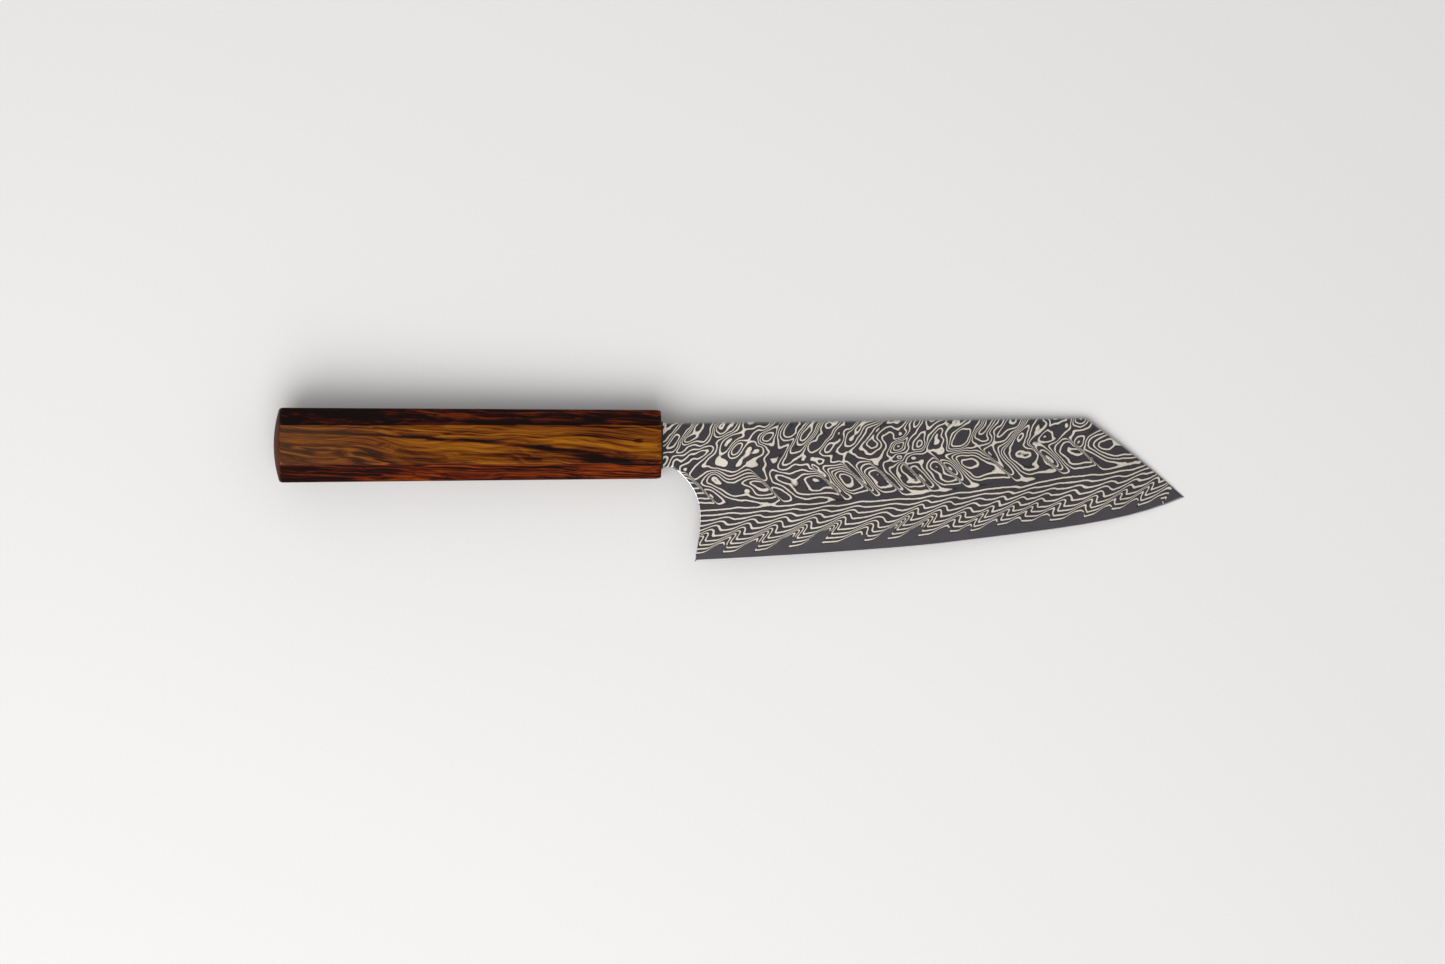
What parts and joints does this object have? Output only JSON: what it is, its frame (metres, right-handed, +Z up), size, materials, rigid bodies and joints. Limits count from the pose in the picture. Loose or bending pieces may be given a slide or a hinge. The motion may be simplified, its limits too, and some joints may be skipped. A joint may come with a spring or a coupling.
{
  "type": "chef knife",
  "caption": "Kitchen knife with a straight clipped point: laminated pattern-welded blade, hidden tang, eight-sided one-piece wooden handle.",
  "frame": {"origin": "on the surface that the knife lies on, under the middle of the whole knife", "axes": "+X toward the point, +Y toward the spine, +Z up out of the blade's right face; the knife lies on its left side on the handle's front corner and the point, nose down by about 3 degrees"},
  "size_m": [0.306, 0.052, 0.026],
  "materials": {
    "core_steel": "satin",
    "clad_steel": "satin",
    "handle_wood": "gloss",
    "epoxy": "matte",
    "seal": "satin"
  },
  "bodies": {
    "root": {"core_steel": "core_steel", "right_cladding": "clad_steel", "left_cladding": "clad_steel", "handle_body": "handle_wood", "tang_bedding": "epoxy", "mouth_seal": "seal"}
  },
  "joints": []
}
